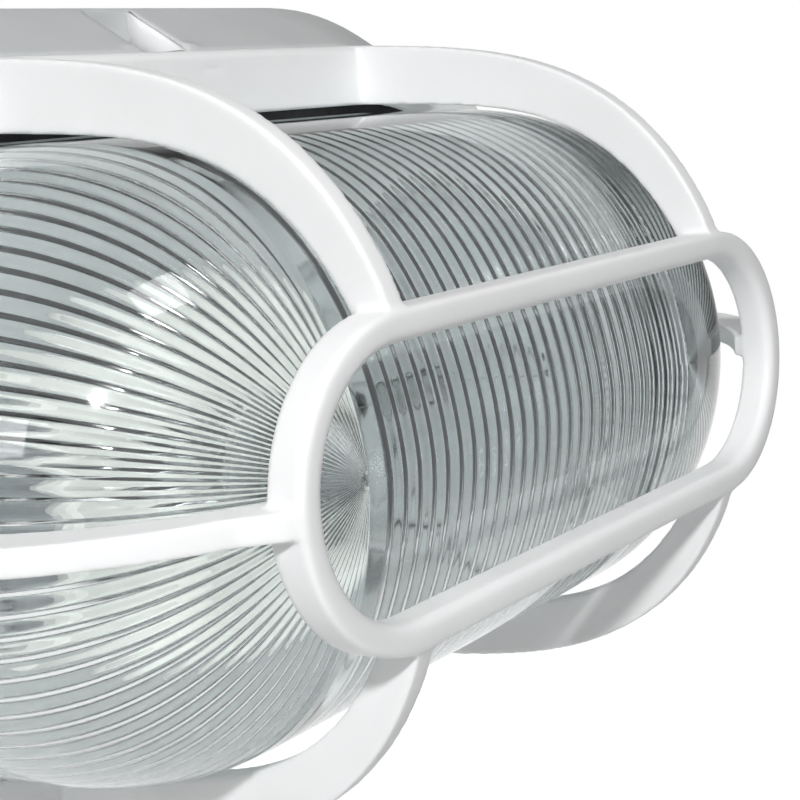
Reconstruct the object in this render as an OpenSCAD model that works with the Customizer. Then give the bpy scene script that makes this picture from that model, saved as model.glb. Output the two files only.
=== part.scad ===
// Oval caged sauna light: cast base, fluted glass dome, rubber rim gasket and a six-rib cage
// that ends in one long front hoop, with the lamp, lampholder and wiring inside.
// Millimetres. Drawn lying on its back, wall plane at height 0, then turned up to hang:
// X runs along the light, Z is up, and the front faces -Y.

/* [Body] */

// Half distance between the centres of the two round ends
spine = 49.5; // [44:0.5:56]

// Outer radius of the base at the wall
base_r = 73.2; // [71:0.2:76]

// Height of the base front face above the wall
base_h = 17; // [16:0.5:19]

// Wall and floor thickness of the base casting
base_wall = 3; // [2.5:0.25:3.5]

/* [Glass] */

// Radius of the glass dome at its rim band
glass_r = 48.3; // [47:0.1:48.8]

// Height of the glass crest above the wall
glass_top = 96; // [92:0.5:97]

// Number of straight flutes across the middle
flutes_mid = 25; // [15:2:29]

// Number of radial flutes in each round end
flutes_end = 42; // [24:2:48]

// Depth of a flute
flute_depth = 1.0; // [0.5:0.1:1.2]

// Height above the wall where the flutes begin
flute_start = 56; // [44:1:60]

/* [Cage] */

// Outer radius of the cage flange
flange_r = 63.8; // [62.6:0.2:65]

// Inner radius of the cage flange
flange_in = 52; // [51.5:0.25:53]

// Height of the front hoop above the wall
cage_top = 103; // [101:0.5:106]

// Outer radius of the front hoop ends
hoop_r = 24.4; // [22:0.2:27]

// Width of the hoop bar
hoop_w = 4.8; // [4:0.2:6]

// Thickness of each rib
rib_t = 4; // [3:0.2:5]

/* [Lamp] */

// Height of the lamp axis above the wall
lamp_h = 54; // [52:0.5:56]

// Radius of the lamp bulb
bulb_r = 30; // [22:1:31]

/* [Hidden] */

$fn = 72;
slack = 0.1;

// flange and gasket stack, heights above the wall
leg_back = 1.4;
lip_h = 3.5;
leg_front = 1.1;
lip_z = base_h + leg_back;
flange_z = lip_z + lip_h + leg_front;
flange_t = 3;
flange_top = flange_z + flange_t;
lip_r = 53.45;
screw_r = 57.8;
screw_a = 45;

// gear tray and what stands on it
tray_z = 14.5;
tray_t = 1.2;
tray_top = tray_z + tray_t;
tray_x = 62;
tray_y = 28;
holder_x = -82;
holder_len = 44;
leg_t = 1.5;
fix_x = 75;
entry_x = 50;
block_x = 9;
earth_x = -30;
earth_y = 20;

// notch in the base rim and slot in the cage flange, for a lever that lifts the cage
notch_x = -4.3;
notch_w = 12.3;
slot_x = 1.2;
slot_l = 4.6;
slot_w = 1;

// Every curved skin of the light follows one rule: from radius r0 at height h0 it leans in by
// "lean" and rounds over towards height h1, with a the side and b the shoulder exponent.
function skin(h, r0, h0, h1, a, b, lean) =
    let (s = (h - h0) / (h1 - h0)) r0 * pow(1 - pow(s, b), 1 / a) - lean * s;

// rib edges, outer and inner, from the flange up to the hoop
rib_foot = flange_top - 2;
end_tuck = 6.5;
function rib_out(h) = skin(h, flange_r, rib_foot, cage_top + 4, 2.25, 3.5, 6.4);
function rib_in(h) = skin(h, flange_in, rib_foot, cage_top, 1.64, 4.2, 3.9);

// lay a form that was drawn on its back up against the wall
module hang() rotate([90, 0, 0]) children();

// flat stadium outline of radius r
module oval(r) {
    translate([-spine, -r]) square([2 * spine, 2 * r]);
    for (s = [-1, 1]) translate([s * spine, 0]) circle(r, $fn = 120);
}

// carry a section, drawn as radius and height, once round the stadium
module round_oval() {
    for (s = [0, 180]) rotate([0, 0, s]) {
        translate([spine, 0, 0]) rotate([0, 0, -90]) rotate_extrude(angle = 180, $fn = 120)
            children();
        translate([-spine, 0, 0]) rotate([90, 0, 90]) linear_extrude(2 * spine) children();
    }
}

// put a child at the four cage screw places on the round ends
module at_cage_screws() {
    for (sx = [-1, 1], sy = [-1, 1])
        translate([sx * (spine + screw_r * cos(screw_a)), sy * screw_r * sin(screw_a), 0])
            children();
}

module at_tray_screws() {
    for (sx = [-1, 1], sy = [-1, 1]) translate([sx * tray_x, sy * tray_y, 0]) children();
}

// pan head screw, head upwards, seat at height 0, with a cross recess
module pan_screw(r, len, head_r, head_h) {
    difference() {
        union() {
            rotate_extrude() polygon([
                [0, 0], [head_r, 0], [head_r, head_h * 0.55], [head_r * 0.72, head_h], [0, head_h]
            ]);
            translate([0, 0, -len]) cylinder(r = r, h = len + 0.2);
        }
        for (a = [0, 90]) rotate([0, 0, a])
            translate([-head_r * 0.55, -head_r * 0.11, head_h * 0.45])
                cube([head_r * 1.1, head_r * 0.22, head_h]);
    }
}

module base_housing() color("white") hang() difference() {
    union() {
        round_oval() polygon([
            [base_r - 8, 0], [base_r, 0], [base_r, 2], [64.5, base_h], [47, base_h],
            [47, base_h - base_wall], [61.2, base_h - base_wall],
            [base_r - base_wall - 1.8, base_wall], [base_r - 8, base_wall]
        ]);
        linear_extrude(base_wall) oval(base_r - 6);
        at_cage_screws() cylinder(r = 4.6, h = base_h - 1);
        at_tray_screws() cylinder(r = 4, h = tray_z);
        for (s = [-1, 1]) translate([s * fix_x, 0, 0]) cylinder(r = 7, h = base_wall + 1.5);
        translate([earth_x, earth_y, 0]) cylinder(r = 4.5, h = 8);
        translate([block_x, 0, 0]) cylinder(r = 3.2, h = base_wall + 1.2);
        // wall pad behind each lever notch
        for (a = [0, 180]) rotate([0, 0, a])
            translate([notch_x - base_wall, base_r - 12.4, base_wall - 1])
                cube([notch_w + 2 * base_wall, 5, base_h - base_wall]);
    }
    at_cage_screws() translate([0, 0, 5]) cylinder(r = 2, h = base_h);
    at_tray_screws() translate([0, 0, 5]) cylinder(r = 1.5, h = base_h);
    for (s = [-1, 1]) translate([s * fix_x, 0, -1]) cylinder(r = 2.75, h = 10);
    translate([entry_x, 0, -1]) cylinder(r = 9, h = 10);
    translate([entry_x, 0, -1]) cylinder(r = 12, h = 2);
    translate([earth_x, earth_y, 2]) cylinder(r = 2, h = 10);
    translate([block_x, 0, 1]) cylinder(r = 1.5, h = 10);
    // lever notch at mid length, top and bottom, level with the cage flange
    for (a = [0, 180]) rotate([0, 0, a])
        translate([notch_x, flange_r + 0.4, 2.6]) cube([notch_w, 20, base_h]);
}

module rim_gasket() color("black") hang() round_oval() polygon([
    [50.3, base_h], [55.2, base_h], [55.2, flange_z], [50.3, flange_z],
    [50.3, lip_z + lip_h], [lip_r + slack, lip_z + lip_h], [lip_r + slack, lip_z], [50.3, lip_z]
]);

// one rib as a plate drawn as radius and height, from inside the flange to inside the hoop;
// "tuck" draws its upper end in, so that an end rib meets the flat outer side of the hoop
rib_steps = 22;
hoop_t = 6.4;
module rib_plate(tuck = 0) {
    top = cage_top - 2;
    low = cage_top - hoop_t;
    hoop_in = hoop_r - hoop_w + 0.4;
    function drawn_in(h) = tuck * pow((h - rib_foot) / (cage_top - rib_foot), 3);
    outer = [for (i = [0:rib_steps]) let (h = rib_foot + (top - rib_foot) * sin(90 * i / rib_steps))
        [rib_out(h) - drawn_in(h), h]];
    inner = [for (i = [rib_steps:-1:0]) let (h = rib_foot + (low - rib_foot) * sin(90 * i / rib_steps))
        [max(rib_in(h) - drawn_in(h), hoop_in), h]];
    rotate([90, 0, 0]) linear_extrude(rib_t, center = true)
        polygon(concat(outer, [[hoop_r - 1.6, cage_top - 0.35], [hoop_in, low + 0.4]], inner));
}

module cage_guard() color("whitesmoke") hang() difference() {
    union() {
        // flange plate with a skirt that stands on the base
        round_oval() polygon([
            [flange_in, flange_z], [60.4, flange_z], [60.4, base_h], [flange_r, base_h],
            [flange_r, flange_top - 1.2], [flange_r - 1.2, flange_top], [flange_in, flange_top]
        ]);
        // front hoop, a bar with flat sides and a round front
        round_oval() {
            translate([hoop_r - hoop_w, cage_top - hoop_t])
                square([hoop_w, hoop_t - hoop_w / 2]);
            translate([hoop_r - hoop_w / 2, cage_top - hoop_w / 2]) circle(hoop_w / 2, $fn = 40);
        }
        // four side ribs and two end ribs
        for (sx = [-1, 1], sy = [-1, 1])
            translate([sx * (spine - 0.5), 0, 0]) rotate([0, 0, sy * 90]) rib_plate();
        for (a = [0, 180]) rotate([0, 0, a]) translate([spine, 0, 0]) rib_plate(end_tuck);
        at_cage_screws() translate([0, 0, flange_z]) cylinder(r = 5.2, h = flange_t + 0.8);
    }
    at_cage_screws() translate([0, 0, flange_z - 1]) cylinder(r = 2.3, h = 10);
    for (a = [0, 180]) rotate([0, 0, a])
        translate([slot_x, flange_r - 4, flange_top - 0.8]) cube([slot_l, slot_w, 2]);
}

// Fluted glass dome, one closed skin: a plain outside that flares at the rim, a clamped lip, and
// an inside with a plain rim band, straight flutes across the middle with a plain strip at each
// side of them, and radial flutes round each end.
glass_a = 1.72;
glass_b = 4;
glass_foot = lip_z + 7;
glass_t = 3.4;
rim_flare = 1.8;
flare_h = 48;
flare_curve = 1.3;
glass_in = glass_r - 3.5;
start_turn = asin(pow((flute_start - glass_foot) / (glass_top - glass_t - glass_foot), glass_b / 2));
glass_turns = concat([2, start_turn - 1.5], [for (i = [0:6]) start_turn + (87 - start_turn) * i / 6]);
function dome_pt(t, r, top) = [
    r * pow(cos(t), 2 / glass_a), glass_foot + (top - glass_foot) * pow(sin(t), 2 / glass_b)
];
function flared(p) =
    [p[0] + rim_flare * pow(max(0, 1 - (p[1] - glass_foot) / flare_h), flare_curve), p[1]];

// points of the stadium path at radius r: columns run along +Y side, round +X, back, round -X
strip_w = 4.5;
mid_n = flutes_mid + 2;
end_n = flutes_end;
function mid_x(c) = c < 1 ? strip_w * c - spine
    : c > mid_n - 1 ? spine - strip_w * (mid_n - c)
    : strip_w - spine + 2 * (spine - strip_w) * (c - 1) / flutes_mid;
function path_pt(k, per, r) = let (m = mid_n * per, e = end_n * per)
    k < m ? [mid_x(k / per), r]
    : k < m + e ? [spine + r * sin(180 * (k - m) / e), r * cos(180 * (k - m) / e)]
    : k < 2 * m + e ? [-mid_x((k - m - e) / per), -r]
    : [-spine - r * sin(180 * (k - 2 * m - e) / e), -r * cos(180 * (k - 2 * m - e) / e)];

// a ridge stands at the middle of every flute, and a plain strip has none
function on_ridge(k, per) = let (c = (k % ((mid_n + end_n) * per)) / per)
    k % 2 == 1 && !(c < 1 || (c > mid_n - 1 && c < mid_n));
function ring_pts(per, prof_lo, prof_hi) = [for (k = [0:2 * (mid_n + end_n) * per - 1])
    let (p = on_ridge(k, per) ? prof_lo : prof_hi, q = path_pt(k, per, p[0])) [q[0], q[1], p[1]]];

module glass_cover() color("lightcyan", 0.5) hang() {
    n_o = 2 * (mid_n + end_n);
    n_i = 2 * n_o;
    outer = concat(
        [[lip_r, lip_z], [lip_r, lip_z + lip_h], [glass_r + rim_flare, lip_z + lip_h]],
        [for (h = [glass_foot, glass_foot + 5]) flared([glass_r, h])],
        [for (t = glass_turns) flared(dome_pt(t, glass_r, glass_top))]);
    ridge = concat([[glass_in + 0.4, lip_z], [glass_in + 0.4, glass_foot]],
        [for (t = glass_turns) dome_pt(t, glass_in, glass_top - glass_t)]);
    valley = concat([[glass_in + 0.4, lip_z], [glass_in + 0.4, glass_foot]],
        [for (t = glass_turns)
            let (f = t < start_turn ? 0 : flute_depth * min(1, 1.5 * cos(t) + 0.15))
            dome_pt(t, glass_in + f, glass_top - glass_t + f)]);
    ro = len(outer);
    ri = len(ridge);
    pts = concat(
        [for (p = outer) each ring_pts(1, p, p)],
        [for (j = [0:ri - 1]) each ring_pts(2, ridge[j], valley[j])]);
    off = ro * n_o;
    m2 = mid_n * 2;
    e2 = end_n * 2;
    top_o = (ro - 1) * n_o;
    top_i = off + (ri - 1) * n_i;
    faces = concat(
        // outer skin
        [for (j = [0:ro - 2], k = [0:n_o - 1]) let (a = j * n_o + k, b = j * n_o + (k + 1) % n_o)
            each [[a, b + n_o, b], [a, a + n_o, b + n_o]]],
        // inner skin
        [for (j = [0:ri - 2], k = [0:n_i - 1])
            let (a = off + j * n_i + k, b = off + j * n_i + (k + 1) % n_i)
            each [[a, b, b + n_i], [a, b + n_i, a + n_i]]],
        // flat foot of the rim, one outer column to two inner ones
        [for (k = [0:n_o - 1]) let (k2 = (k + 1) % n_o)
            [k, k2, off + (2 * k + 2) % n_i, off + 2 * k + 1, off + 2 * k]],
        // crest of the outer skin, straight across and then the two round ends
        [for (k = [0:mid_n - 1]) let (a = k, b = k + 1, c = 2 * mid_n + end_n - k)
            each [[top_o + a, top_o + c % n_o, top_o + b], [top_o + b, top_o + c % n_o, top_o + c - 1]]],
        [[for (k = [mid_n + end_n:-1:mid_n]) top_o + k]],
        [[for (k = [2 * (mid_n + end_n):-1:2 * mid_n + end_n]) top_o + k % n_o]],
        // crest of the inner skin
        [for (k = [0:m2 - 1]) let (a = k, b = k + 1, c = 2 * m2 + e2 - k)
            each [[top_i + a, top_i + b, top_i + c % n_i], [top_i + b, top_i + c - 1, top_i + c % n_i]]],
        [for (k = [m2 + 1:m2 + e2 - 1]) [top_i + m2, top_i + k, top_i + k + 1]],
        [for (k = [2 * m2 + e2 + 1:n_i - 1])
            [top_i + 2 * m2 + e2, top_i + k, top_i + (k + 1) % n_i]]
    );
    polyhedron(pts, faces);
}

module cage_washers() color("dimgray") hang() at_cage_screws() translate([0, 0, flange_top + 0.8])
    difference() {
        cylinder(r = 4.4, h = 1);
        translate([0, 0, -1]) cylinder(r = 2.2, h = 3);
    }

module cage_screws() color("silver") hang() at_cage_screws()
    translate([0, 0, flange_top + 1.8]) pan_screw(1.95, 21, 3.9, 2.6);

module gear_tray() color("white") hang() difference() {
    translate([0, 0, tray_z]) linear_extrude(tray_t) oval(46);
    at_tray_screws() cylinder(r = 1.8, h = 30);
    for (s = [-1, 1]) translate([-72, s * 8, 0]) cylinder(r = 2.2, h = 30);
    translate([-88, 0, 0]) cylinder(r = 5.5, h = 30);
}

module tray_screws() color("silver") hang() at_tray_screws()
    translate([0, 0, tray_top]) pan_screw(1.45, 9, 2.9, 2);

// lay a turned form, drawn upright, along the lamp axis from height 0 at position x
module on_axis(x) translate([x, 0, lamp_h]) rotate([0, 90, 0]) children();

module holder_body() color("ivory") hang() difference() {
    on_axis(holder_x) rotate_extrude() polygon([
        [0, 0], [16, 0], [17, 1], [17, 15], [19.5, 18], [19.5, 42.5], [18, 44], [15.4, 44],
        [15.4, 20], [5.5, 20], [5.5, 15], [0, 15]
    ]);
    for (s = [-1, 1]) on_axis(holder_x - 1) translate([0, s * 9, 0]) cylinder(r = 2, h = 11);
    for (s = [-1, 1]) on_axis(holder_x - 1) translate([10, s * 5, 0]) cylinder(r = 1.7, h = 10);
}

module holder_shell() color("goldenrod") hang() on_axis(holder_x + 20) rotate_extrude() polygon([
    [6, 0], [15.3, 0], [15.3, 1], [14.2, 1], [14.2, 22], [13.4, 22], [13.4, 1], [6, 1]
]);

module centre_contact() color("gold") hang() on_axis(holder_x + 15) {
    cylinder(r = 5.3, h = 1);
    cylinder(r = 3, h = 5);
}

module holder_bracket() color("silver") hang() difference() {
    intersection() {
        // bent strip with a round inner and outer bend
        rotate([90, 0, 0]) linear_extrude(28, center = true) translate([holder_x - leg_t, tray_top])
            difference() {
                union() {
                    translate([0, 3]) square([leg_t, 51]);
                    translate([3, 0]) square([18, leg_t]);
                    intersection() {
                        translate([3, 3]) circle(3);
                        square([3, 3]);
                    }
                }
                translate([3, 3]) circle(3 - leg_t);
            }
        union() {
            translate([holder_x - 4, -14, 0]) cube([40, 28, lamp_h]);
            on_axis(holder_x - 4) cylinder(r = 14, h = 30);
        }
    }
    for (s = [-1, 1]) on_axis(holder_x - 5) translate([0, s * 9, 0]) cylinder(r = 2.2, h = 8);
    for (s = [-1, 1]) on_axis(holder_x - 5) translate([10, s * 5, 0]) cylinder(r = 1.8, h = 8);
    for (s = [-1, 1]) translate([-72, s * 8, 0]) cylinder(r = 2.2, h = 30);
}

module holder_screws() color("silver") hang() for (s = [-1, 1])
    translate([holder_x - leg_t, s * 9, lamp_h]) rotate([0, -90, 0]) pan_screw(1.9, 11, 3.6, 2.2);

module bracket_screws() color("silver") hang() for (s = [-1, 1])
    translate([-72, s * 8, tray_top + leg_t]) pan_screw(1.9, 6, 3.6, 2.2);

module bracket_nuts() color("silver") hang() for (s = [-1, 1])
    translate([-72, s * 8, tray_z - 3]) difference() {
        cylinder(r = 4.04, h = 3, $fn = 6);
        translate([0, 0, -1]) cylinder(r = 2, h = 5);
    }

// sealed lamp: cap with a contact tip, neck and bulb, one closed solid
module lamp_bulb() color("ghostwhite") hang() on_axis(holder_x + 20) {
    neck = 36;
    centre = 105 - bulb_r;
    reach = sqrt(pow(bulb_r, 2) - pow(16, 2));
    rotate_extrude() polygon(concat(
        [[0, 0], [4.5, 0], [5.5, 3], [12.6, 5], [12.6, 25], [13.4, 27]],
        [for (i = [1:12]) let (t = i / 12, w = t * t * (3 - 2 * t), z = 27 + t * (centre - reach - 27))
            [13.4 + 2.6 * w, z]],
        [for (i = [1:24]) let (a0 = asin(reach / bulb_r), a = -a0 + (90 + a0) * i / 24)
            [bulb_r * cos(a), centre + bulb_r * sin(a)]]
    ));
}

module terminal_block() color("ivory") hang() difference() {
    translate([block_x, 0, base_wall + 1.2]) union() {
        translate([-17, -9, 0]) cube([34, 18, 6]);
        for (s = [-1, 1]) translate([s * 8 - 5, -9, 0]) cube([10, 18, 9]);
    }
    for (s = [-1, 1]) translate([block_x + s * 8, 20, base_wall + 5.4]) rotate([90, 0, 0])
        cylinder(r = 2.8, h = 40);
    for (s = [-1, 1], t = [-1, 1]) translate([block_x + s * 8, t * 4.5, base_wall + 6])
        cylinder(r = 1.9, h = 9);
    translate([block_x, 0, 0]) cylinder(r = 1.7, h = 20);
}

module terminal_clamps() color("goldenrod") hang() for (s = [-1, 1])
    translate([block_x + s * 8, 8, base_wall + 5.4]) rotate([90, 0, 0]) difference() {
        cylinder(r = 2.7, h = 16);
        translate([0, 0, -1]) cylinder(r = 1.5, h = 18);
        for (t = [3.5, 12.5]) translate([0, 0, t]) rotate([-90, 0, 0])
            cylinder(r = 1.2, h = 6);
    }

module clamp_screws() color("silver") hang() for (s = [-1, 1], t = [-1, 1])
    translate([block_x + s * 8, t * 4.5, base_wall + 6.4]) difference() {
        cylinder(r = 1.1, h = 3.4);
        translate([-2, -0.2, 2.9]) cube([4, 0.4, 2]);
    }

module block_screw() color("silver") hang() translate([block_x, 0, base_wall + 7.2])
    pan_screw(1.4, 8, 2.8, 2);

module earth_washer() color("goldenrod") hang() translate([earth_x, earth_y, 8]) difference() {
    cylinder(r = 4.2, h = 0.8);
    translate([0, 0, -1]) cylinder(r = 2.2, h = 3);
}

module earth_screw() color("goldenrod") hang() translate([earth_x, earth_y, 8.8])
    pan_screw(1.9, 6, 3.4, 2.2);

// round wire of radius r swept along its route, eight sides, rings square to the route
function unit(v) = v / norm(v);
function smooth_route(p, n) = [for (i = [0:len(p) - 2], j = [0:n - 1])
    let (t = j / n, a = p[max(i - 1, 0)], b = p[i], c = p[i + 1], d = p[min(i + 2, len(p) - 1)])
    0.5 * (2 * b + (c - a) * t + (2 * a - 5 * b + 4 * c - d) * t * t
        + (3 * b - 3 * c + d - a) * t * t * t)];

module wire(route, r) {
    p = concat(smooth_route(route, 3), [route[len(route) - 1]]);
    n = len(p);
    pts = [for (i = [0:n - 1])
        let (d = unit(p[min(i + 1, n - 1)] - p[max(i - 1, 0)]),
            u = unit(cross(d, [0.31, 0.95, 0.12])), v = cross(d, u))
        for (k = [0:7]) p[i] + r * (cos(45 * k) * u + sin(45 * k) * v)];
    faces = concat(
        [[for (k = [0:7]) k]],
        [for (i = [0:n - 2], k = [0:7]) let (a = i * 8 + k, b = i * 8 + (k + 1) % 8)
            each [[a, b + 8, b], [a, a + 8, b + 8]]],
        [[for (k = [7:-1:0]) (n - 1) * 8 + k]]);
    polyhedron(pts, faces);
}

module live_wire() color("brown") hang() wire([
    [block_x - 8, -3, 8.15], [block_x - 8, -7, 8.15], [block_x - 8, -10, 8.2],
    [block_x - 10, -14.5, 8.4], [-8, -19, 8.4], [-40, -19, 8.4], [-64, -9, 8.4],
    [-80, 2.4, 8.6], [-88, 2.6, 13], [-88.6, 2.6, 22], [-88.4, 4, 34], [-86.8, 5, 42.4],
    [-84, 5, 44], [-78, 5, 44]
], 1.2);

module neutral_wire() color("royalblue") hang() wire([
    [block_x + 8, -3, 8.15], [block_x + 8, -7, 8.15], [block_x + 8, -10, 8.2],
    [block_x + 5, -16, 8.4], [0, -24, 8.4], [-40, -24, 8.4], [-64, -15, 8.4],
    [-80, -4.4, 8.6], [-88, -2.6, 13], [-88.6, -2.6, 22], [-88.4, -4, 34], [-86.8, -5, 42.4],
    [-84, -5, 44], [-78, -5, 44]
], 1.2);

module cable_grommet() color("dimgray") hang() translate([entry_x, 0, 0]) rotate_extrude() polygon([
    [4.5, 0], [11.8, 0], [11.8, 1], [8.9, 1], [8.9, base_wall], [11.6, base_wall],
    [11.2, base_wall + 1.6], [6.4, base_wall + 3.2], [4.5, base_wall + 3.2]
]);

module fixing_seals() color("dimgray") hang() for (s = [-1, 1])
    translate([s * fix_x, 0, base_wall + 1.5]) difference() {
        cylinder(r = 6.5, h = 1.5);
        translate([0, 0, -1]) cylinder(r = 2.75, h = 4);
    }

base_housing();
cage_guard();
glass_cover();
rim_gasket();
cage_screws();
cage_washers();
gear_tray();
tray_screws();
holder_body();
holder_shell();
centre_contact();
holder_bracket();
holder_screws();
bracket_screws();
bracket_nuts();
lamp_bulb();
terminal_block();
terminal_clamps();
clamp_screws();
block_screw();
earth_screw();
earth_washer();
live_wire();
neutral_wire();
cable_grommet();
fixing_seals();
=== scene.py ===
import math
import bmesh
import bpy
import numpy as np
from mathutils import Matrix, Vector


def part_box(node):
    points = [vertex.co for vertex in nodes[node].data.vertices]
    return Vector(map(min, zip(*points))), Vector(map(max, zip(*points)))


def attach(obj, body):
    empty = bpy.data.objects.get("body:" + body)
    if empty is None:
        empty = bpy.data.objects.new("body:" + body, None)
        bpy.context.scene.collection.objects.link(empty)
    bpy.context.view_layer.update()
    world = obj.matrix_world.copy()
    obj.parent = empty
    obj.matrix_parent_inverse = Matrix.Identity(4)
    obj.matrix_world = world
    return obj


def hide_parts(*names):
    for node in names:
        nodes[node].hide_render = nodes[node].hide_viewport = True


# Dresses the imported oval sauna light: painted cast cage and base, fluted glass, rubber, lamp and fittings.
# Metres. X runs along the light, Z is up, and the front faces -Y. h is the height above the wall, so Y = -h.

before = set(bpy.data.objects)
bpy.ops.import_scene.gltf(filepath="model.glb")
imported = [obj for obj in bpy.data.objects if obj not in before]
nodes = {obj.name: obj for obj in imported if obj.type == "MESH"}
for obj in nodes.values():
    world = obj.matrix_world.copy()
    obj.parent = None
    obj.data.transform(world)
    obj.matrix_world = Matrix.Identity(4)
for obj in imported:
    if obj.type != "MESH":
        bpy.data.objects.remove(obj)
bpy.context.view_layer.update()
mm = 0.001
spine = 49.5 * mm  # half distance between the centres of the round ends
print("frame loaded")


# camera at the photograph's angle, found from the outlines of the cage, glass and base
cameraSet = {
    "target": (-0.01579, -0.103, 0.00712),
    "azimuth": -57.584,
    "elevation": 9.618,
    "roll": -4.211,
    "distance": 0.27361,
    "lens": 79.97,
    "shift": (-0.17428, -0.01355),
}


def addCamera(s):
    # looks at target from distance away, at azimuth from the front and elevation, then rolled
    az, el, roll = (math.radians(s[k]) for k in ("azimuth", "elevation", "roll"))
    back = np.array([math.sin(az) * math.cos(el), -math.cos(az) * math.cos(el), math.sin(el)])
    right = np.cross(-back, [0, 0, 1])
    right /= np.linalg.norm(right)
    up = np.cross(right, -back)
    side = math.cos(roll) * right + math.sin(roll) * up
    top = -math.sin(roll) * right + math.cos(roll) * up
    place = np.array(s["target"]) + s["distance"] * back
    cam = bpy.data.cameras.new("camera")
    cam.lens = s["lens"]
    cam.sensor_width = 36
    cam.shift_x, cam.shift_y = s["shift"]
    cam.clip_start = 0.01
    obj = bpy.data.objects.new("camera", cam)
    bpy.context.scene.collection.objects.link(obj)
    turn = Matrix([list(side), list(top), list(back)]).transposed()
    obj.matrix_world = Matrix.Translation(place) @ turn.to_4x4()
    bpy.context.scene.camera = obj


addCamera(cameraSet)
print("camera set")


# materials, each a short node tree on object coordinates
def newMaterial(name):
    mat = bpy.data.materials.new(name)
    mat.use_nodes = True
    tree = mat.node_tree
    shader = tree.nodes["Principled BSDF"]
    coords = tree.nodes.new("ShaderNodeTexCoord")
    return mat, tree, shader, coords.outputs["Object"]


def noiseNode(tree, where, scale, detail=3.0, rough=0.5):
    n = tree.nodes.new("ShaderNodeTexNoise")
    n.inputs["Scale"].default_value = scale
    n.inputs["Detail"].default_value = detail
    n.inputs["Roughness"].default_value = rough
    tree.links.new(where, n.inputs["Vector"])
    return n.outputs["Fac"]


def rampNode(tree, source, stops):
    r = tree.nodes.new("ShaderNodeValToRGB")
    ramp = r.color_ramp
    while len(ramp.elements) < len(stops):
        ramp.elements.new(0.5)
    for element, (place, colour) in zip(ramp.elements, stops):
        element.position = place
        element.color = (*colour, 1)
    tree.links.new(source, r.inputs["Fac"])
    return r.outputs["Color"]


def rangeNode(tree, source, low, high, fromLow=0.35, fromHigh=0.65):
    m = tree.nodes.new("ShaderNodeMapRange")
    m.inputs["From Min"].default_value = fromLow
    m.inputs["From Max"].default_value = fromHigh
    m.inputs["To Min"].default_value = low
    m.inputs["To Max"].default_value = high
    tree.links.new(source, m.inputs["Value"])
    return m.outputs["Result"]


def bumpNode(tree, shader, height, distance, strength=1.0, under=None):
    b = tree.nodes.new("ShaderNodeBump")
    b.inputs["Distance"].default_value = distance
    b.inputs["Strength"].default_value = strength
    tree.links.new(height, b.inputs["Height"])
    if under is not None:
        tree.links.new(under, b.inputs["Normal"])
    tree.links.new(b.outputs["Normal"], shader.inputs["Normal"])
    return b.outputs["Normal"]


def mixNode(tree, share, under, over):
    # the first shader where share is 0, the second where it is 1
    mix = tree.nodes.new("ShaderNodeMixShader")
    tree.links.new(share, mix.inputs["Fac"])
    tree.links.new(under, mix.inputs[1])
    tree.links.new(over, mix.inputs[2])
    return mix.outputs["Shader"]


def seenPath(tree, name):
    return tree.nodes.new("ShaderNodeLightPath").outputs[name]


def castPaint(name, pale, dull, rough, peel=0.00005):
    # painted casting: broad tone changes, faint orange peel and a slow casting waviness
    mat, tree, shader, place = newMaterial(name)
    tone = rampNode(tree, noiseNode(tree, place, 35, 4), [(0.35, dull), (0.65, pale)])
    tree.links.new(tone, shader.inputs["Base Color"])
    gloss = rangeNode(tree, noiseNode(tree, place, 90, 3), rough - 0.05, rough + 0.07)
    tree.links.new(gloss, shader.inputs["Roughness"])
    wave = bumpNode(tree, shader, noiseNode(tree, place, 60, 2), 0.0004, 0.6)
    bumpNode(tree, shader, noiseNode(tree, place, 900, 2), peel, 0.5, wave)
    return mat


def rubberMat(name, colour, rough):
    # matt rubber with a paler bloom in patches and a fine grain
    mat, tree, shader, place = newMaterial(name)
    lighter = tuple(min(1, c * 1.6 + 0.01) for c in colour)
    tone = rampNode(tree, noiseNode(tree, place, 120, 5), [(0.3, colour), (0.75, lighter)])
    tree.links.new(tone, shader.inputs["Base Color"])
    gloss = rangeNode(tree, noiseNode(tree, place, 400), rough - 0.1, rough + 0.1)
    tree.links.new(gloss, shader.inputs["Roughness"])
    bumpNode(tree, shader, noiseNode(tree, place, 1500, 3), 0.00004, 0.6)
    return mat


def metalMat(name, bright, dark, rough):
    # bare or plated metal, cloudy in tone and gloss
    mat, tree, shader, place = newMaterial(name)
    tone = rampNode(tree, noiseNode(tree, place, 220, 5, 0.6), [(0.3, dark), (0.62, bright)])
    tree.links.new(tone, shader.inputs["Base Color"])
    shader.inputs["Metallic"].default_value = 1
    gloss = rangeNode(tree, noiseNode(tree, place, 500, 4), rough - 0.08, rough + 0.12)
    tree.links.new(gloss, shader.inputs["Roughness"])
    bumpNode(tree, shader, noiseNode(tree, place, 1800, 2), 0.00002, 0.5)
    return mat


def glazeMat(name, pale, dull, rough):
    # ceramic under a clear coat of glaze
    mat, tree, shader, place = newMaterial(name)
    tone = rampNode(tree, noiseNode(tree, place, 80, 4), [(0.35, dull), (0.6, pale)])
    tree.links.new(tone, shader.inputs["Base Color"])
    shader.inputs["Roughness"].default_value = rough
    shader.inputs["Coat Weight"].default_value = 0.6
    shader.inputs["Coat Roughness"].default_value = 0.08
    bumpNode(tree, shader, noiseNode(tree, place, 300, 3), 0.00006, 0.4)
    return mat


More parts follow.
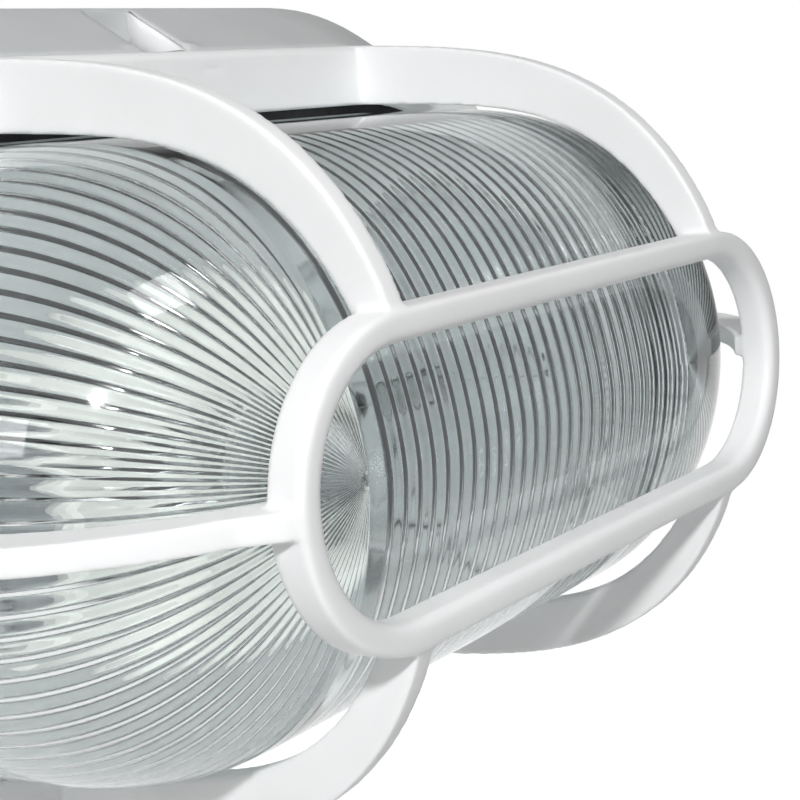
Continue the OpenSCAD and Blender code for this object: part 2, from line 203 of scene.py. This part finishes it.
def glassMat(name, tint, rough, waves, through):
    # clear glass; "through" is the share of lamp light that each face lets pass straight on
    mat, tree, shader, place = newMaterial(name)
    shader.inputs["Base Color"].default_value = (*tint, 1)
    shader.inputs["Roughness"].default_value = rough
    shader.inputs["Transmission Weight"].default_value = 1
    shader.inputs["IOR"].default_value = 1.5
    if waves:
        bumpNode(tree, shader, noiseNode(tree, place, 120, 2), waves, 0.5)
    clear = tree.nodes.new("ShaderNodeBsdfTransparent")
    clear.inputs["Color"].default_value = (through, through, through, 1)
    shadow = seenPath(tree, "Is Shadow Ray")
    whole = mixNode(tree, shadow, shader.outputs["BSDF"], clear.outputs["BSDF"])
    tree.links.new(whole, tree.nodes["Material Output"].inputs["Surface"])
    return mat


whitePaint = castPaint("whitePaint", (0.88, 0.885, 0.89), (0.85, 0.855, 0.86), 0.48)
# the base's grey is painted shade: the casting is as white as the cage, and the grey stands in for the
# dimmer light on its upward-facing wall
shadeGreyBasePaint = castPaint("shadeGreyBasePaint", (0.60, 0.615, 0.62), (0.56, 0.575, 0.58), 0.45)
trayEnamel = castPaint("trayEnamel", (0.70, 0.71, 0.71), (0.64, 0.65, 0.65), 0.3)
blackRubber = rubberMat("blackRubber", (0.012, 0.012, 0.013), 0.5)
greyRubber = rubberMat("greyRubber", (0.10, 0.10, 0.105), 0.55)
brownSleeve = rubberMat("brownSleeve", (0.16, 0.06, 0.025), 0.45)
blueSleeve = rubberMat("blueSleeve", (0.02, 0.08, 0.30), 0.45)
zincPlate = metalMat("zincPlate", (0.82, 0.83, 0.84), (0.68, 0.69, 0.70), 0.38)
brassPart = metalMat("brassPart", (0.80, 0.62, 0.30), (0.60, 0.44, 0.20), 0.28)
ceramicGlaze = glazeMat("ceramicGlaze", (0.86, 0.85, 0.81), (0.80, 0.79, 0.75), 0.25)
domeGlass = glassMat("domeGlass", (0.85, 0.89, 0.892), 0.05, 0.00006, 0.22)
# far end glass: rougher (frosted), and darker in tint as painted shade
frostShadeGlass = glassMat("frostShadeGlass", (0.62, 0.66, 0.665), 0.25, 0.00006, 0.22)
lampGlass = glassMat("lampGlass", (0.97, 0.98, 0.98), 0.0, 0, 0.95)
lampWire = metalMat("lampWire", (0.80, 0.80, 0.81), (0.66, 0.66, 0.67), 0.45)
print("materials made")


def dress(material, *names):
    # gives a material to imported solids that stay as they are
    for n in names:
        obj = nodes[n]
        if not obj.material_slots:
            obj.data.materials.append(material)
        for s in obj.material_slots:
            s.material = material


dress(trayEnamel, "gear_tray")
dress(blackRubber, "rim_gasket")
dress(greyRubber, "cable_grommet", "fixing_seals", "cage_washers")
dress(brownSleeve, "live_wire")
dress(blueSleeve, "neutral_wire")
dress(zincPlate, "cage_screws", "tray_screws", "holder_bracket", "holder_screws", "bracket_screws")
dress(zincPlate, "bracket_nuts", "clamp_screws", "block_screw")
dress(brassPart, "holder_shell", "centre_contact", "terminal_clamps", "earth_screw", "earth_washer")
dress(ceramicGlaze, "holder_body", "terminal_block")


# shared mesh tools
def addPiece(name, mesh, material):
    mesh.polygons.foreach_set("use_smooth", [True] * len(mesh.polygons))
    mesh.materials.clear()
    mesh.materials.append(material)
    obj = bpy.data.objects.new(name, mesh)
    bpy.context.scene.collection.objects.link(obj)
    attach(obj, "root")
    return obj


def skinMesh(name, points, quads):
    # closed skin from arrays: doubles at the poles merge, and the faces end up pointing outwards
    mesh = bpy.data.meshes.new(name)
    mesh.from_pydata(points.tolist(), [], quads.tolist())
    bm = bmesh.new()
    bm.from_mesh(mesh)
    bmesh.ops.remove_doubles(bm, verts=bm.verts, dist=2e-7)
    if bm.calc_volume(signed=True) < 0:
        bmesh.ops.reverse_faces(bm, faces=bm.faces)
    bm.to_mesh(mesh)
    bm.free()
    return mesh


def meshFromArrays(name, points, quads, material):
    return addPiece(name, skinMesh(name, points, quads), material)


def gridQuads(rows, cols, closeRows=False):
    # quads of a grid whose columns run round a closed loop, and whose rows may close as well
    r = np.arange(rows if closeRows else rows - 1)[:, None]
    c = np.arange(cols)[None, :]
    r2, c2 = (r + 1) % rows, (c + 1) % cols
    return np.stack([r * cols + c, r2 * cols + c, r2 * cols + c2, r * cols + c2], -1).reshape(-1, 4)


def evenSteps(curve, count):
    # the same curve with its points at equal distances along it
    run = np.r_[0, np.cumsum(np.hypot(*np.diff(curve, axis=0).T))]
    s = np.linspace(0, run[-1], count)
    return np.c_[np.interp(s, run, curve[:, 0]), np.interp(s, run, curve[:, 1])]


def leftNormal(curve):
    # unit normal at each point of a flat curve, its tangent turned by a right angle to the left
    t = np.gradient(curve, axis=0)
    return np.c_[-t[:, 1], t[:, 0]] / np.hypot(*t.T)[:, None]


def ovalPath(xs, endCount):
    # columns round the stadium: along the top at xs, round the +X end, back below, round the -X end.
    # A column stands at its spine point x, and points outwards along (outX, outZ).
    turn = np.linspace(0, math.pi, endCount, endpoint=False)
    x = np.r_[xs, np.full(endCount, spine), -xs, np.full(endCount, -spine)]
    outX = np.r_[0 * xs, np.sin(turn), 0 * xs, -np.sin(turn)]
    outZ = np.r_[0 * xs + 1, np.cos(turn), 0 * xs - 1, -np.cos(turn)]
    return x, outX, outZ


# castings: the CAD solid is merged, remeshed in small cells, relaxed so that each edge and inner
# corner gets the soft radius of a painted casting, and thinned to about keep triangles
castSet = {
    "cage_guard": {"cell": 0.48, "relax": 7, "keep": 185000},
    "base_housing": {"cell": 0.62, "relax": 5, "keep": 150000},
}

# front hoop bar: its outer side is flat, its front nearly flat, with small corner radii
hoopSet = {
    "outer": 24.4,
    "inner": 19.6,
    "top": 103.0,
    "low": 96.6,
    "soft": 1.0,
    "softIn": 1.9,
    "cornerPoints": 7,
    "columnsMid": 40,
    "columnsEnd": 90,
}


def hoopBar(s):
    # closed loop of (radius from the end centre, height) with quarter-round corners, carried round the oval
    a = np.linspace(0, math.pi / 2, s["cornerPoints"])[:, None]
    outerCorner = [s["outer"], s["top"]] + s["soft"] * np.hstack([np.cos(a) - 1, np.sin(a) - 1])
    innerCorner = [s["inner"], s["top"]] + s["softIn"] * np.hstack([1 - np.sin(a), np.cos(a) - 1])
    outerFoot, innerFoot = [[s["outer"], s["low"]]], [[s["inner"], s["low"]]]
    loop = np.vstack([outerFoot, outerCorner, innerCorner, innerFoot]) * mm
    x, outX, outZ = ovalPath(np.linspace(-spine, spine, s["columnsMid"], endpoint=False), s["columnsEnd"])
    points = np.stack([x + loop[:, :1] * outX, -loop[:, 1:] + 0 * x, loop[:, :1] * outZ], -1)
    return skinMesh("hoopBar", points.reshape(-1, 3), gridQuads(len(loop), len(x), True))


# head of each end rib: its outer edge runs on over the hoop's side up to the front;
# outline (radius from the end centre, height) and half the rib's width
headSet = {
    "outline": [
        [31.5, 95.4], [28.4, 99.0], [25.9, 101.4], [23.4, 102.9], [20.4, 102.9], [20.4, 97.2], [24.6, 96.0],
    ],
    "half": 2.0,
}


def slab(outline, x0, x1):
    # outline as pairs of numbers, drawn out along a third way from x0 to x1, each end closed to its middle
    ring = np.array(outline)
    middle = np.repeat(ring.mean(axis=0)[None], len(ring), 0)
    layers = ((middle, x0), (ring, x0), (ring, x1), (middle, x1))
    return np.stack([np.c_[np.full(len(ring), x), r] for r, x in layers])


def ribHead(s, side):
    z, r, h = np.moveaxis(slab(s["outline"], -s["half"], s["half"]) * mm, -1, 0)
    points = np.stack([side * (spine + r), -h, z], -1)
    return skinMesh("ribHead", points.reshape(-1, 3), gridQuads(4, len(s["outline"])))


def softMesh(mesh, s):
    # the remeshed, relaxed and thinned copy of a mesh
    work = bpy.data.objects.new("work", mesh)
    bpy.context.scene.collection.objects.link(work)
    cells = work.modifiers.new("cells", "REMESH")
    cells.mode = "VOXEL"
    cells.voxel_size = s["cell"] * mm
    relax = work.modifiers.new("relax", "SMOOTH")
    relax.factor = 0.5
    relax.iterations = s["relax"]
    depsgraph = bpy.context.evaluated_depsgraph_get()
    count = 2 * len(work.evaluated_get(depsgraph).data.polygons)
    thin = work.modifiers.new("thin", "DECIMATE")
    thin.ratio = min(1, s["keep"] / count)
    depsgraph = bpy.context.evaluated_depsgraph_get()
    done = bpy.data.meshes.new_from_object(work.evaluated_get(depsgraph))
    bpy.data.objects.remove(work)
    return done


def softCast(nodeName, pieceName, s, paint, extras=()):
    mesh = nodes[nodeName].data.copy()
    bm = bmesh.new()
    bm.from_mesh(mesh)
    bmesh.ops.remove_doubles(bm, verts=bm.verts, dist=1e-6)
    for extra in extras:
        bm.from_mesh(extra)
    bm.to_mesh(mesh)
    bm.free()
    done = softMesh(mesh, s)
    # no point leaves the solid's own box
    low, high = (np.array(corner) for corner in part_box(nodeName))
    spots = np.zeros(3 * len(done.vertices))
    done.vertices.foreach_get("co", spots)
    done.vertices.foreach_set("co", np.clip(spots.reshape(-1, 3), low, high).ravel())
    piece = addPiece(pieceName, done, paint)
    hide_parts(nodeName)
    print(pieceName, "made", len(done.polygons))


cageExtras = [hoopBar(hoopSet), ribHead(headSet, -1), ribHead(headSet, 1)]
softCast("cage_guard", "castCage", castSet["cage_guard"], whitePaint, cageExtras)
softCast("base_housing", "castBase", castSet["base_housing"], shadeGreyBasePaint)


# white tab in the cage's paint against the far wall of each lever notch: a sheet standing in for the lit
# notch wall, as painted light beside the base's grey painted shade; its outline (up, height) follows the
# flare of the base wall, just below it
tabSet = {"farX": 7.95, "thick": 1.1, "outline": [[64.4, 2.9], [72.5, 2.9], [71.0, 5.0], [64.4, 16.2]]}


def notchTab(s, name, turn):
    x, z, h = np.moveaxis(slab(s["outline"], s["farX"] - s["thick"], s["farX"]) * mm, -1, 0)
    points = np.stack([turn * x, -h, turn * z], -1)
    quads = gridQuads(4, len(s["outline"]))
    return meshFromArrays(name, points.reshape(-1, 3), quads, whitePaint)


for tabName, turn in (("notchTabTop", 1), ("notchTabLow", -1)):
    tab = notchTab(tabSet, tabName, turn)
    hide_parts("cage_guard")
print("notch tabs made")


# fluted glass dome, one closed skin: smooth outside, a lip in the gasket, and flutes inside
glassSet = {
    "radius": 48.3,
    "foot": 25.4,
    "crest": 96.0,
    "side": 1.72,
    "shoulder": 4.0,
    "wall": 3.5,
    "flare": 1.8,
    "flareRise": 48.0,
    "flareCurve": 1.3,
    "belly": 0.9,
    "bellyFoot": 1.0,
    "bellyRise": 54.0,
    "lipHeights": (23.8, 22.6, 21.9),
    "rimOut": 53.4,
    "rimIn": 45.8,
    "rimFoot": 18.4,
    "flutesMid": 26,
    "flutesEnd": 42,
    "perFlute": 6,
    "stripNear": 4.5,
    "stripFar": 0.9,
    "depth": 1.15,
    "round": 1.1,
    "start": 57.0,
    "fade": 3.0,
    "startEnd": 31.0,
    "fadeEnd": 6.0,
    "poleCalm": 9.0,
    "farCalm": (76.0, 88.0),
    "farShare": 0.3,
    "frostShadeFar": 70.0,
    "frostShadeEdge": 0.2,
    "frostShadeWall": 1.2,
    "rowsOut": 36,
    "rowsIn": 66,
    "rowsFine": 600,
}


def glassSkin(s, radius, crest, count):
    # (r / radius) ** side + (rise / height) ** shoulder = 1, from the foot up to the crest
    rise = np.sin(np.linspace(0, math.pi / 2, s["rowsFine"]))
    r = radius * (1 - rise ** s["shoulder"]).clip(0) ** (1 / s["side"])
    return evenSteps(np.c_[r, s["foot"] + (crest - s["foot"]) * rise], count)


def glassOutside(s):
    # the outside flares by flare * (1 - rise / flareRise) ** flareCurve towards the rim, and has a belly
    # of one sine half wave over bellyRise
    outer = glassSkin(s, s["radius"], s["crest"], s["rowsOut"])[::-1]
    rise = outer[:, 1] - s["foot"]
    outer[:, 0] += s["flare"] * np.clip(1 - rise / s["flareRise"], 0, 1) ** s["flareCurve"]
    outer[:, 0] += s["belly"] * np.sin(math.pi * np.clip((rise - s["bellyFoot"]) / s["bellyRise"], 0, 1))
    return outer


def fluteColumns(s):
    # columns round the oval, and how far each stands out of the groove, 0..depth: a flute bulges by
    # depth * (1 - |2 f - 1| ** round), f running 0..1 over it; both ends of the straight sides stay plain
    per = s["perFlute"]
    near, far = -spine + s["stripNear"] * mm, spine - s["stripFar"] * mm
    nearStrip = np.linspace(-spine, near, per, endpoint=False)
    flutes = np.linspace(near, far, s["flutesMid"] * per, endpoint=False)
    farStrip = np.linspace(far, spine, per, endpoint=False)
    x, outX, outZ = ovalPath(np.r_[nearStrip, flutes, farStrip], s["flutesEnd"] * per)
    f = (np.arange(len(x)) % per) / per
    bulge = s["depth"] * (1 - np.abs(2 * f - 1) ** s["round"])
    tiny = 1e-9
    bulge[(outX == 0) & ((x < near - tiny) | (x > far + tiny))] = 0
    return x, outX, outZ, bulge


def glassDome(s):
    # one profile runs down the outside, round the rim and up the inside, and is carried round the oval;
    # on the inside the flutes push it inwards along its normal, and fade in above their start heights
    outer = glassOutside(s)
    lip = [[s["radius"] + s["flare"], height] for height in s["lipHeights"]]
    seat = [[s["rimOut"], s["lipHeights"][-1]], [s["rimOut"], s["rimFoot"]], [s["rimIn"], s["rimFoot"]]]
    rim = np.array(lip + seat)
    grooveR, grooveCrest = (s[k] - s["wall"] + s["depth"] for k in ("radius", "crest"))
    inner = glassSkin(s, grooveR, grooveCrest, s["rowsIn"])
    profile = np.vstack([outer, rim, inner])
    normal = -leftNormal(inner)
    normal[-1] = (0, 1)
    normal = np.vstack([np.zeros((len(outer) + len(rim), 2)), normal])

    x, outX, outZ, bulge = fluteColumns(s)
    middle = np.clip((profile[:, 1:] - s["start"]) / s["fade"], 0, 1)
    ends = np.clip((profile[:, 1:] - s["startEnd"]) / s["fadeEnd"], 0, 1)
    ends = ends * np.clip(profile[:, :1] / s["poleCalm"], 0, 1)
    calm = np.interp(profile[:, 1:], s["farCalm"], (1, s["farShare"]))
    ends = ends * np.where(outX[None, :] > 0, calm, 1)
    push = bulge[None, :] * np.where(outX[None, :] == 0, middle, ends)
    r = (profile[:, :1] - push * normal[:, :1]) * mm
    h = (profile[:, 1:] - push * normal[:, 1:]) * mm
    points = np.stack([x[None] + r * outX, -h, r * outZ], -1).reshape(-1, 3)
    piece = meshFromArrays("glassDome", points, gridQuads(len(profile), len(x)), domeGlass)
    frostAndShadeFarEnd(piece, outer, s)
    return piece


def frostAndShadeFarEnd(piece, outer, s):
    # slightly frosted glass with a darker tint that is painted shade, on the calm inner faces of the far
    # end: more than frostShadeWall within the outer skin, past the spine's end and above frostShadeFar
    piece.data.materials.append(frostShadeGlass)
    centres = np.zeros(3 * len(piece.data.polygons))
    piece.data.polygons.foreach_get("center", centres)
    x, y, z = centres.reshape(-1, 3).T
    skinR = np.interp(-y, outer[::-1, 1] * mm, outer[::-1, 0] * mm)
    inside = skinR - np.hypot(x - spine, z) > s["frostShadeWall"] * mm
    frostedShaded = inside & (x > spine + s["frostShadeEdge"] * mm) & (y < -s["frostShadeFar"] * mm)
    piece.data.polygons.foreach_set("material_index", frostedShaded.astype(int))


dome = glassDome(glassSet)
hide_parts("glass_cover")
print("glass dome made", len(dome.data.polygons))


# lamp on its axis along X at height axisH: thin clear envelope, screw cap and stem.
# Places are pairs in mm, along the axis from the cap's tip and out from it
lampSet = {
    "axisH": 54.0,
    "capX": -62.0,
    "radius": 29.9,
    "ballAt": 75,
    "swell": (25, 52),
    "neck": 13.3,
    "wall": 0.6,
    "turns": 96,
    "neckRings": 30,
    "ballRings": 50,
    "tip": [[0, 0], [0, 3.5], [1.2, 4.6], [3, 5.6], [4.4, 11.4]],
    "threadSpan": (5, 25),
    "threadRadius": 12.35,
    "threadDeep": 0.45,
    "threadPitch": 3.62,
    "threadRings": 120,
    "collar": [[25.6, 13.2], [26.6, 13.5], [26.6, 12.6], [24.4, 12.4], [24.4, 0]],
    "stem": [[24.4, 0], [24.4, 7], [27, 6.5], [33, 4.2], [44, 3], [58, 2.6], [60, 3.2], [61, 1.6], [61, 0]],
}


def turned(profile, s, name, material):
    # profile (along, radius) in mm, closed or from pole to pole, spun about the lamp axis
    a = np.linspace(0, 2 * math.pi, s["turns"], endpoint=False)
    along = np.broadcast_to(profile[:, :1], (len(profile), len(a)))
    r = profile[:, 1:]
    points = np.stack([s["capX"] + along, -s["axisH"] - r * np.cos(a), r * np.sin(a)], -1) * mm
    tiny = 1e-6
    apart = np.abs(profile[0] - profile[-1]).sum() > tiny
    closed = bool(apart and min(profile[0, 1], profile[-1, 1]) > tiny)
    quads = gridQuads(len(profile), len(a), closed)
    return meshFromArrays(name, points.reshape(-1, 3), quads, material)


def bulbProfile(s, inset):
    # a neck, a smooth swell, then a sphere: over the swell the radius eases from the neck's to the
    # sphere's own by u ** 2 * (3 - 2 u)
    start, end = s["swell"]
    u = np.linspace(0, 1, s["neckRings"])
    endR = (s["radius"] ** 2 - (s["ballAt"] - end) ** 2) ** 0.5
    neck = np.c_[start + (end - start) * u, s["neck"] + (endR - s["neck"]) * u ** 2 * (3 - 2 * u)]
    a = np.linspace(math.asin((end - s["ballAt"]) / s["radius"]), math.pi / 2, s["ballRings"])[1:]
    ball = np.c_[s["ballAt"] + s["radius"] * np.sin(a), s["radius"] * np.cos(a)]
    p = np.vstack([neck, ball])
    p = p - inset * leftNormal(p)
    p[-1, 1] = 0
    return p


def makeLamp(s):
    outer = bulbProfile(s, 0)
    inner = bulbProfile(s, s["wall"])
    envelope = turned(np.vstack([outer[::-1], inner]), s, "lampEnvelope", lampGlass)
    u = np.linspace(*s["threadSpan"], s["threadRings"])
    thread = s["threadRadius"] + s["threadDeep"] * np.sin(2 * math.pi * u / s["threadPitch"])
    cap = np.vstack([s["tip"], np.c_[u, thread], s["collar"]])
    capPiece = turned(cap, s, "lampCap", zincPlate)
    stemPiece = turned(np.array(s["stem"]), s, "lampStem", lampGlass)
    return [envelope, capPiece, stemPiece]


# filament between two leads, in mm from the cap's tip and the lamp's axis
wireSet = {
    "archAt": 88,
    "archDip": 9,
    "archCurve": 2.2,
    "archHalf": 15,
    "coil": 0.45,
    "coilTurn": 260,
    "coilRings": 900,
    "thick": 0.07,
    "leadAt": 58,
    "leadApart": 1.2,
    "leadCurve": 1.6,
    "leadRings": 24,
    "leadThick": 0.12,
}


def tubeAlong(points, radius, name, material, sides):
    # round wire: a ring of points square to the path at each of its points, capped by pole points
    d = np.gradient(points, axis=0)
    d /= np.linalg.norm(d, axis=1)[:, None]
    u = np.cross(d, [0.1, 0.2, 0.97])
    u /= np.linalg.norm(u, axis=1)[:, None]
    v = np.cross(d, u)
    a = np.linspace(0, 2 * math.pi, sides, endpoint=False)
    r = np.r_[0, np.full(len(points), radius), 0]
    idx = np.r_[0, np.arange(len(points)), len(points) - 1]
    ring = np.cos(a)[None, :, None] * u[idx][:, None] + np.sin(a)[None, :, None] * v[idx][:, None]
    pts = points[idx][:, None] + r[:, None, None] * ring
    return meshFromArrays(name, pts.reshape(-1, 3), gridQuads(len(idx), sides), material)


def makeFilament(w, s):
    # a fine coil along an arch that dips by archDip * |t| ** archCurve to its ends, t running -1..1;
    # the leads rise from the stem to these ends, spreading by u ** leadCurve, u running 0..1
    t = np.linspace(-1, 1, w["coilRings"])
    archX = s["capX"] + w["archAt"] - w["archDip"] * np.abs(t) ** w["archCurve"]
    arch = np.stack([archX, -s["axisH"] - w["archHalf"] * t, 0 * t], -1)
    coil = w["coil"] * np.stack([np.cos(w["coilTurn"] * t), 0 * t, np.sin(w["coilTurn"] * t)], -1)
    parts = [tubeAlong((arch + coil) * mm, w["thick"] * mm, "lampFilament", lampWire, 6)]
    u = np.linspace(0, 1, w["leadRings"])
    leadX = s["capX"] + w["leadAt"] + (w["archAt"] - w["archDip"] - w["leadAt"]) * u
    spread = w["leadApart"] + (w["archHalf"] - w["leadApart"]) * u ** w["leadCurve"]
    for side, name in ((-1, "lampLeadA"), (1, "lampLeadB")):
        lead = np.stack([leadX, -s["axisH"] + side * spread, 0 * u], -1)
        parts.append(tubeAlong(lead * mm, w["leadThick"] * mm, name, lampWire, 8))
    return parts


for p in makeLamp(lampSet) + makeFilament(wireSet, lampSet):
    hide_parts("lamp_bulb")
print("lamp made")


# surroundings: strengths of the world's light, and where the white backdrop begins behind and low down
worldSet = {
    "fill": 0.2,
    "backdrop": 1.0,
    "room": 0.12,
    "scattered": 1.85,
    "behind": (0.15, 0.65),
    "low": (0.12, 0.4),
}

# pale floor well below the light
floorSet = {
    "half": 3.0,
    "height": -0.45,
    "colour": (0.6, 0.6, 0.6),
    "rough": 0.9,
    "glow": 0.85,
    "lift": 1.16,
    "below": 2.7,
    "behind": (-0.7, -0.2),
}


def pairNode(tree, operation, a, b, clamp=True):
    n = tree.nodes.new("ShaderNodeMath")
    n.operation = operation
    n.use_clamp = clamp
    tree.links.new(a, n.inputs[0])
    tree.links.new(b, n.inputs[1])
    return n.outputs[0]


def seenRay(tree):
    # 1 for mirror and glass rays
    return pairNode(tree, "MAXIMUM", seenPath(tree, "Is Glossy Ray"), seenPath(tree, "Is Transmission Ray"))


def insideRay(tree):
    # 1 for light that comes through the glass after it has met a surface inside
    return pairNode(tree, "MULTIPLY", seenPath(tree, "Is Transmission Ray"), seenPath(tree, "Diffuse Depth"))


def splitPlace(tree, place):
    split = tree.nodes.new("ShaderNodeSeparateXYZ")
    tree.links.new(place, split.inputs["Vector"])
    return split.outputs


def floorMat(s, world):
    # to the camera a share of the floor is plain light at strength lift, which makes it white; mirrors
    # and glass see only light, dim in front and white behind, and more of it for what is lit inside
    mat, tree, shader, place = newMaterial("floorPale")
    shader.inputs["Base Color"].default_value = (*s["colour"], 1)
    shader.inputs["Roughness"].default_value = s["rough"]
    glow = tree.nodes.new("ShaderNodeEmission")
    glow.inputs["Color"].default_value = (1, 1, 1, 1)
    inside = insideRay(tree)
    behind = rangeNode(tree, splitPlace(tree, place)["Y"], world["room"], world["backdrop"], *s["behind"])
    camera = rangeNode(tree, seenPath(tree, "Is Camera Ray"), 0.0, s["lift"], 0.0, 1.0)
    level = pairNode(tree, "MAXIMUM", behind, camera, False)
    level = pairNode(tree, "MAXIMUM", level, inside, False)
    more = rangeNode(tree, inside, 1.0, s["below"], 0.0, 1.0)
    tree.links.new(pairNode(tree, "MULTIPLY", level, more, False), glow.inputs["Strength"])
    shown = rangeNode(tree, seenPath(tree, "Is Camera Ray"), 0.0, s["glow"], 0.0, 1.0)
    share = pairNode(tree, "MAXIMUM", shown, seenRay(tree))
    top = mixNode(tree, share, shader.outputs["BSDF"], glow.outputs["Emission"])
    # clear from below, so that the light can be looked at from there
    clear = tree.nodes.new("ShaderNodeBsdfTransparent")
    side = tree.nodes.new("ShaderNodeNewGeometry")
    whole = mixNode(tree, side.outputs["Backfacing"], top, clear.outputs["BSDF"])
    tree.links.new(whole, tree.nodes["Material Output"].inputs["Surface"])
    return mat


def addFloor(s, world):
    a, z = s["half"], s["height"]
    mesh = bpy.data.meshes.new("floor")
    mesh.from_pydata([(-a, -a, z), (a, -a, z), (a, a, z), (-a, a, z)], [], [(0, 1, 2, 3)])
    mesh.materials.append(floorMat(s, world))
    floor = bpy.data.objects.new("floor", mesh)
    bpy.context.scene.collection.objects.link(floor)


def plainGlow(tree, strength):
    n = tree.nodes.new("ShaderNodeBackground")
    n.inputs["Color"].default_value = (1, 1, 1, 1)
    if isinstance(strength, float):
        n.inputs["Strength"].default_value = strength
    else:
        tree.links.new(strength, n.inputs["Strength"])
    return n.outputs["Background"]


def addWorld(s):
    # white to the camera; mirrors and glass see the white backdrop behind the light, and a dimmer
    # room above it and in front; the fill is even, and stronger for what the flutes scatter inside
    world = bpy.data.worlds.new("studio")
    world.use_nodes = True
    bpy.context.scene.world = world
    tree = world.node_tree
    place = splitPlace(tree, tree.nodes.new("ShaderNodeTexCoord").outputs["Generated"])
    behind = rangeNode(tree, place["Y"], 0.0, 1.0, *s["behind"])
    low = rangeNode(tree, place["Z"], 1.0, 0.0, *s["low"])
    room = rangeNode(tree, pairNode(tree, "MULTIPLY", behind, low), s["room"], s["backdrop"], 0.0, 1.0)
    last = plainGlow(tree, s["fill"])
    for share, strength in (
        (seenRay(tree), room),
        (insideRay(tree), s["scattered"]),
        (seenPath(tree, "Is Camera Ray"), s["backdrop"]),
    ):
        last = mixNode(tree, share, last, plainGlow(tree, strength))
    tree.links.new(last, tree.nodes["World Output"].inputs["Surface"])


# lamps by bearing from the front, height angle, distance from lampsAim, size and power;
# those that aren't mirrored don't show in metal and glass
lampsAim = (-0.03, -0.06, 0)
lampsSet = {
    "keyLamp": {
        "bearing": -51,
        "rise": 31,
        "away": 0.75,
        "size": (0.06, 0.06),
        "power": 4.35,
        "shape": "ELLIPSE",
    },
    "sideLamp": {"bearing": -84, "rise": 20, "away": 1.5, "size": (0.3, 0.3), "power": 2.1},
    "lowPanel": {
        "bearing": -60,
        "rise": -65,
        "away": 0.42,
        "size": (0.3, 0.3),
        "power": 0.32,
        "mirrored": False,
    },
    "backPanel": {
        "bearing": 128,
        "rise": 8,
        "away": 1.4,
        "size": (0.5, 0.5),
        "power": 12.0,
        "mirrored": False,
    },
    "topPanel": {"bearing": -8, "rise": 62, "away": 1.4, "size": (0.4, 0.3), "power": 2.6},
}


def addLamp(name, s):
    lamp = bpy.data.lights.new(name, "AREA")
    lamp.shape = s.get("shape", "RECTANGLE")
    lamp.size, lamp.size_y = s["size"]
    lamp.energy = s["power"]
    obj = bpy.data.objects.new(name, lamp)
    b, e = math.radians(s["bearing"]), math.radians(s["rise"])
    way = Vector((math.sin(b) * math.cos(e), -math.cos(b) * math.cos(e), math.sin(e)))
    obj.location = way * s["away"] + Vector(lampsAim)
    obj.rotation_euler = way.to_track_quat("Z", "Y").to_euler()
    obj.visible_glossy = obj.visible_transmission = s.get("mirrored", True)
    bpy.context.scene.collection.objects.link(obj)


addFloor(floorSet, worldSet)
addWorld(worldSet)
for lampName, lampValues in lampsSet.items():
    addLamp(lampName, lampValues)
bpy.context.scene.view_settings.view_transform = "Standard"
print("floor and light set")
